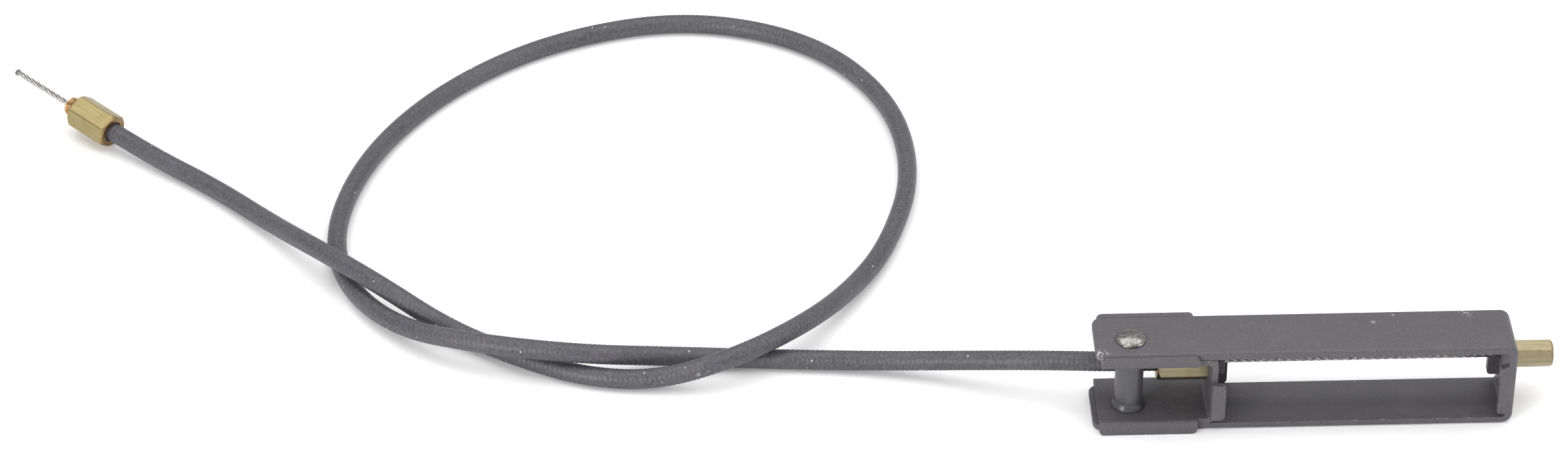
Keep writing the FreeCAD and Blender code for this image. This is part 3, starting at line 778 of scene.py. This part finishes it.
def nose_thread():
    """The far fitting's bush: a root in the hexagon, then a screw thread round a bored nose.

    The thread's radius falls from crest to root and back with the distance along less the share of
    a turn gone round, so its ridge climbs one pitch a turn. It fades at both ends.
    """
    pitch, depth, crest = 0.7 * MM, 0.3 * MM, 2.5 * MM
    root_end, end = 2.0 * MM, 4.9 * MM
    rows = np.linspace(root_end, end, 60)
    angle = np.linspace(0, 2 * math.pi, 64, endpoint=False)
    angle_grid, along_grid = np.meshgrid(angle, rows)
    phase = (along_grid / pitch - angle_grid / (2 * math.pi)) % 1
    ridge = np.clip(np.abs(phase - 0.5) * 2.6, 0, 1)
    fade = np.minimum(np.clip((along_grid - root_end) / (0.3 * MM), 0, 1),
                      np.clip((end - along_grid) / (0.35 * MM), 0, 1))
    reach = crest - depth * (1 - ridge * fade)
    ring = np.ones((1, len(angle)))
    before = [(0.0, WIRE_BORE), (0.0, 1.9 * MM), (root_end, 1.9 * MM)]
    after = [(end, 1.45 * MM), (end, WIRE_BORE)]
    rows_before, radii_before = zip(*before)
    rows_after, radii_after = zip(*after)
    along = np.concatenate([ring * v for v in rows_before] + [along_grid] + [ring * v for v in rows_after])
    radius = np.concatenate([ring * v for v in radii_before] + [reach] + [ring * v for v in radii_after])
    angles = np.broadcast_to(angle, along.shape)
    base = FAR_END + FAR_AXIS * (FAR_LENGTH - root_end)
    grid = place_round(base, FAR_AXIS, along, radius, angles)
    piece = surface("nose_thread", [grid], nose_bronze(), loops=True, smooth_angle=40)
    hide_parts("threaded_nose")
    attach(piece, "bracket")
    return piece


frame_hex()
wall_nut()
terminal_hex()
far_hex()
nose_thread()

# ---------------------------------------------------------------- bracket


def sheet_pieces():
    paint = bracket_paint("frame_paint", 0.0)
    edge = bracket_paint("frame_paint_edge", 0.75)
    for name, node in (("frame_strip", "outer_frame"), ("yoke_strip", "inner_yoke")):
        piece = rounded_copy(name, node, [paint, edge], 0.16 * MM)
        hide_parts(node)
        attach(piece, "bracket")


def rivet_piece():
    """Domed head, shank and clenched lower end, turned in one."""
    middle = (RIVET_LOW + RIVET_HIGH) / 2
    top = RIVET_HIGH[2] - RIVET_LOW[2]
    head, dome, shank = 3.7 * MM, 1.4 * MM, 2.0 * MM
    seat = top - dome
    sweep = np.linspace(0.06, 1, 16)
    section = [(0, 0.05 * MM), (0, 2.85 * MM), (1.6 * MM, shank), (seat, shank), (seat, head - 0.12 * MM)]
    section += [(seat + dome * (0.14 + 0.86 * t), head * math.sqrt(1 - t ** 1.7)) for t in sweep[:-1]]
    section.append((top, 0.05 * MM))
    base = np.array([middle[0], middle[1], RIVET_LOW[2]])
    piece = turned("rivet_turned", base, Z_AXIS, section, rivet_nickel())
    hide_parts("rivet")
    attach(piece, "bracket")


def post_piece():
    """Spacer tube with a foot that flares in a soft curve."""
    middle = (POST_LOW + POST_HIGH) / 2
    height = POST_HIGH[2] - POST_LOW[2]
    foot, tube, bore, flare = 4.1 * MM, 3.45 * MM, 2.05 * MM, 1.7 * MM
    steps = np.linspace(0, 1, 10)
    section = [(0, bore), (0, foot - 0.1 * MM), (0.1 * MM, foot)]
    section += [(0.3 * MM + flare * t, foot - (foot - tube) * (3 * t ** 2 - 2 * t ** 3)) for t in steps]
    section += [(height - 0.15 * MM, tube), (height, tube - 0.15 * MM), (height, bore)]
    base = np.array([middle[0], middle[1], POST_LOW[2]])
    piece = turned("post_turned", base, Z_AXIS, section, dark_post(), loops=True)
    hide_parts("spacer_post")
    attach(piece, "bracket")


sheet_pieces()
rivet_piece()
post_piece()
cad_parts["wire_nipple"].data.materials.clear()
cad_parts["wire_nipple"].data.materials.append(rope_steel)

# ---------------------------------------------------------------- floor and light


def add_floor():
    finish = Finish("floor", Roughness=0.9, Specular_IOR_Level=0.2)
    shade = finish.noise(3.0, 2)
    finish.set(**{"Base Color": finish.mix(shade, (0.93, 0.93, 0.93), (0.95, 0.95, 0.95))})
    mesh = bpy.data.meshes.new("floor")
    reach = 4.0
    corners = [(-reach, -reach, 0), (reach, -reach, 0), (reach, reach, 0), (-reach, reach, 0)]
    mesh.from_pydata(corners, [], [(0, 1, 2, 3)])
    mesh.materials.append(finish.material)
    floor = bpy.data.objects.new("floor", mesh)
    bpy.context.collection.objects.link(floor)


def add_light(name, place, target, size, power, color=(1, 1, 1)):
    data = bpy.data.lights.new(name, "AREA")
    data.shape = "RECTANGLE"
    data.size, data.size_y = size
    data.energy = power
    data.color = color
    light = bpy.data.objects.new(name, data)
    light.location = place
    direction = Vector(target) - Vector(place)
    light.rotation_euler = direction.to_track_quat("-Z", "Y").to_euler()
    bpy.context.collection.objects.link(light)


def add_lighting():
    world = bpy.data.worlds.new("studio")
    world.use_nodes = True
    world.node_tree.nodes["Background"].inputs["Color"].default_value = (1, 1, 1, 1)
    world.node_tree.nodes["Background"].inputs["Strength"].default_value = 0.78
    bpy.context.scene.world = world
    add_light("overhead", (-0.1, 0.25, 1.5), (-0.13, 0.05, 0), (2.2, 1.7), 17)
    add_light("front_left", (-1.0, -1.0, 0.9), (-0.1, 0, 0), (0.9, 0.6), 4)
    add_light("low_left", (-0.62, -0.62, 0.22), (-0.05, 0, 0.01), (0.16, 0.3), 2.6)
    add_light("right_side", (1.1, -0.3, 0.7), (0, 0, 0), (0.6, 0.6), 4)


add_floor()
add_lighting()
bpy.context.scene.view_settings.view_transform = "Standard"
